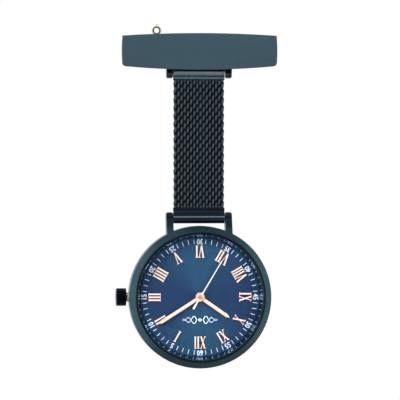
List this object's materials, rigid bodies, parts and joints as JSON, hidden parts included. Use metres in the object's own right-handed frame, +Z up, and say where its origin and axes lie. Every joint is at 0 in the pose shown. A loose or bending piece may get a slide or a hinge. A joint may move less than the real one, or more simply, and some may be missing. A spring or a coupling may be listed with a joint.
{
  "type": "fob watch",
  "caption": "Nurse's fob watch: quartz watch head with an inverted dial, hung by a woven steel strap from a curved brooch bar with a hinged pin and a turning safety catch.",
  "frame": {"origin": "centre of the case back's flat outer face, on the axis of the hands", "axes": "+Z up, from the watch head along the hanging strap to the brooch bar; +X to the right seen from the front; +Y backwards, out of the case back towards the wearer, so the dial faces -Y"},
  "size_m": [0.0375, 0.0078, 0.08],
  "materials": {
    "coated_steel_polished": "mirror-polished steel with a dark teal vapour coating",
    "coated_steel_brushed": "brushed steel with a dark teal vapour coating",
    "coated_steel_mesh": "drawn wire with a blue-black vapour coating",
    "bare_steel": "plain stainless steel, satin",
    "champagne_metal": "pale champagne plating, polished",
    "mineral_glass": "clear and flat",
    "seal_rubber": "matt black nitrile",
    "dial_lacquer": "navy sunburst lacquer",
    "rose_gold": "polished rose gold plating",
    "white_lacquer": "pale satin lacquer",
    "wheel_brass": "stamped brass",
    "movement_plastic": "white moulded",
    "board_laminate": "green laminate",
    "copper_winding": "enamelled copper wire",
    "magnet_black": "sintered magnet"
  },
  "bodies": {
    "brooch": {"brooch_bar": "coated_steel_polished", "bar_lugs": "coated_steel_polished", "pin_base_strip": "bare_steel", "pin_hinge_rivet": "bare_steel", "catch_housing": "bare_steel", "upper_spring_bar_barrel": "bare_steel", "upper_spring_bar_pins": "bare_steel", "upper_spring_bar_spring": "bare_steel"},
    "pin": {"brooch_pin": "bare_steel"},
    "catch": {"catch_rotor": "champagne_metal"},
    "strap_1": {"upper_end_clamp": "coated_steel_polished", "mesh_section_1": "coated_steel_mesh"},
    "strap_2": {"mesh_section_2": "coated_steel_mesh"},
    "strap_3": {"mesh_section_3": "coated_steel_mesh"},
    "strap_4": {"mesh_section_4": "coated_steel_mesh"},
    "strap_5": {"mesh_section_5": "coated_steel_mesh"},
    "strap_6": {"mesh_section_6": "coated_steel_mesh"},
    "strap_7": {"mesh_section_7": "coated_steel_mesh"},
    "strap_8": {"mesh_section_8": "coated_steel_mesh", "lower_end_clamp": "coated_steel_polished"},
    "case": {"mid_case": "coated_steel_brushed", "case_back": "bare_steel", "case_back_gasket": "seal_rubber", "bezel": "coated_steel_brushed", "crystal": "mineral_glass", "crystal_gasket": "seal_rubber", "rehaut_ring": "bare_steel", "crown_tube": "champagne_metal", "dial": "dial_lacquer", "applied_numerals": "rose_gold", "movement_holder": "movement_plastic", "main_plate": "wheel_brass", "train_bridge": "bare_steel", "movement_screws": "bare_steel", "circuit_board": "board_laminate", "quartz_can": "bare_steel", "battery": "bare_steel", "battery_clip": "bare_steel", "coil": "copper_winding", "stator": "bare_steel", "lower_spring_bar_barrel": "bare_steel", "lower_spring_bar_pins": "bare_steel", "lower_spring_bar_spring": "bare_steel"},
    "crown_seal": {"crown_gasket": "seal_rubber"},
    "crown": {"crown": "coated_steel_polished", "setting_stem": "bare_steel", "stem_pinion": "bare_steel"},
    "setting_lever": {"setting_lever": "bare_steel"},
    "rotor": {"step_rotor": "magnet_black"},
    "fifth": {"fifth_wheel": "wheel_brass"},
    "seconds": {"seconds_wheel": "wheel_brass", "second_hand": "white_lacquer"},
    "third": {"third_wheel": "wheel_brass"},
    "minutes": {"centre_wheel": "wheel_brass", "minute_hand": "rose_gold"},
    "minute_wheel": {"minute_wheel": "wheel_brass"},
    "hours": {"hour_wheel": "wheel_brass", "hour_hand": "rose_gold"},
    "setting_wheel": {"setting_wheel": "wheel_brass"}
  },
  "joints": [
    {"name": "pin_open", "type": "hinge", "parent": "brooch", "child": "pin", "pos_m": [0.012, -0.00125, 0.059], "axis": [0, 0, -1], "range_deg": [0, 95]},
    {"name": "catch_turn", "type": "hinge", "parent": "brooch", "child": "catch", "pos_m": [-0.0098, -0.00125, 0.059], "axis": [1, 0, 0], "range_deg": [-100, 0]},
    {"name": "strap_top_swing", "type": "hinge", "parent": "brooch", "child": "strap_1", "pos_m": [0, -0.0016, 0.0525], "axis": [1, 0, 0], "range_deg": [-55, 90]},
    {"name": "mesh_flex_1", "type": "hinge", "parent": "strap_1", "child": "strap_2", "pos_m": [0, -0.0016, 0.04664], "axis": [1, 0, 0], "range_deg": [-20, 20]},
    {"name": "mesh_flex_2", "type": "hinge", "parent": "strap_2", "child": "strap_3", "pos_m": [0, -0.0016, 0.04294], "axis": [1, 0, 0], "range_deg": [-20, 20]},
    {"name": "mesh_flex_3", "type": "hinge", "parent": "strap_3", "child": "strap_4", "pos_m": [0, -0.0016, 0.03923], "axis": [1, 0, 0], "range_deg": [-20, 20]},
    {"name": "mesh_flex_4", "type": "hinge", "parent": "strap_4", "child": "strap_5", "pos_m": [0, -0.0016, 0.03553], "axis": [1, 0, 0], "range_deg": [-20, 20]},
    {"name": "mesh_flex_5", "type": "hinge", "parent": "strap_5", "child": "strap_6", "pos_m": [0, -0.0016, 0.03182], "axis": [-1, 0, 0], "range_deg": [-20, 20]},
    {"name": "mesh_flex_6", "type": "hinge", "parent": "strap_6", "child": "strap_7", "pos_m": [0, -0.0016, 0.02811], "axis": [-1, 0, 0], "range_deg": [-20, 20]},
    {"name": "mesh_flex_7", "type": "hinge", "parent": "strap_7", "child": "strap_8", "pos_m": [0, -0.0016, 0.02441], "axis": [-1, 0, 0], "range_deg": [-20, 20]},
    {"name": "head_swing", "type": "hinge", "parent": "strap_8", "child": "case", "pos_m": [0, -0.0016, 0.0183], "axis": [1, 0, 0], "range_deg": [-90, 90]},
    {"name": "crown_pull", "type": "slide", "parent": "case", "child": "crown_seal", "axis": [-1, 0, 0], "range_m": [0, 0.0008]},
    {"name": "crown_turn", "type": "hinge", "parent": "crown_seal", "child": "crown", "pos_m": [-0.01, -0.0029, 0], "axis": [1, 0, 0], "continuous": true},
    {"name": "setting_lever_turn", "type": "hinge", "parent": "case", "child": "setting_lever", "pos_m": [-0.00725, -0.00205, -0.0024], "axis": [0, -1, 0], "range_deg": [0, 19.5]},
    {"name": "second_hand_turn", "type": "hinge", "parent": "case", "child": "seconds", "pos_m": [0, -0.004, 0], "axis": [0, 1, 0], "continuous": true},
    {"name": "rotor_turn", "type": "hinge", "parent": "case", "child": "rotor", "pos_m": [0.00401, -0.003, -0.00324], "axis": [0, 1, 0], "continuous": true},
    {"name": "fifth_wheel_turn", "type": "hinge", "parent": "case", "child": "fifth", "pos_m": [0.00148, -0.0025, -0.00256], "axis": [0, 1, 0], "continuous": true},
    {"name": "third_wheel_turn", "type": "hinge", "parent": "case", "child": "third", "pos_m": [0.00186, -0.0028, 0.00221], "axis": [0, 1, 0], "continuous": true},
    {"name": "minute_hand_turn", "type": "hinge", "parent": "case", "child": "minutes", "pos_m": [0, -0.004, 0], "axis": [0, 1, 0], "continuous": true},
    {"name": "minute_wheel_turn", "type": "hinge", "parent": "case", "child": "minute_wheel", "pos_m": [-0.002, -0.0041, 0], "axis": [0, 1, 0], "continuous": true},
    {"name": "hour_hand_turn", "type": "hinge", "parent": "case", "child": "hours", "pos_m": [0, -0.0047, 0], "axis": [0, 1, 0], "continuous": true},
    {"name": "setting_wheel_turn", "type": "hinge", "parent": "case", "child": "setting_wheel", "pos_m": [-0.0047, -0.004, 0], "axis": [0, 1, 0], "continuous": true}
  ],
  "couplings": [
    {"joint": "setting_lever_turn", "follows": "crown_pull", "rad_per_m": 412.87},
    {"joint": "fifth_wheel_turn", "follows": "second_hand_turn", "ratio": -5},
    {"joint": "rotor_turn", "follows": "second_hand_turn", "ratio": 30},
    {"joint": "third_wheel_turn", "follows": "second_hand_turn", "ratio": -0.13333},
    {"joint": "minute_hand_turn", "follows": "second_hand_turn", "ratio": 0.016667},
    {"joint": "minute_wheel_turn", "follows": "second_hand_turn", "ratio": -0.0055556},
    {"joint": "hour_hand_turn", "follows": "second_hand_turn", "ratio": 0.0013889},
    {"joint": "setting_wheel_turn", "follows": "second_hand_turn", "ratio": 0.0069444}
  ]
}
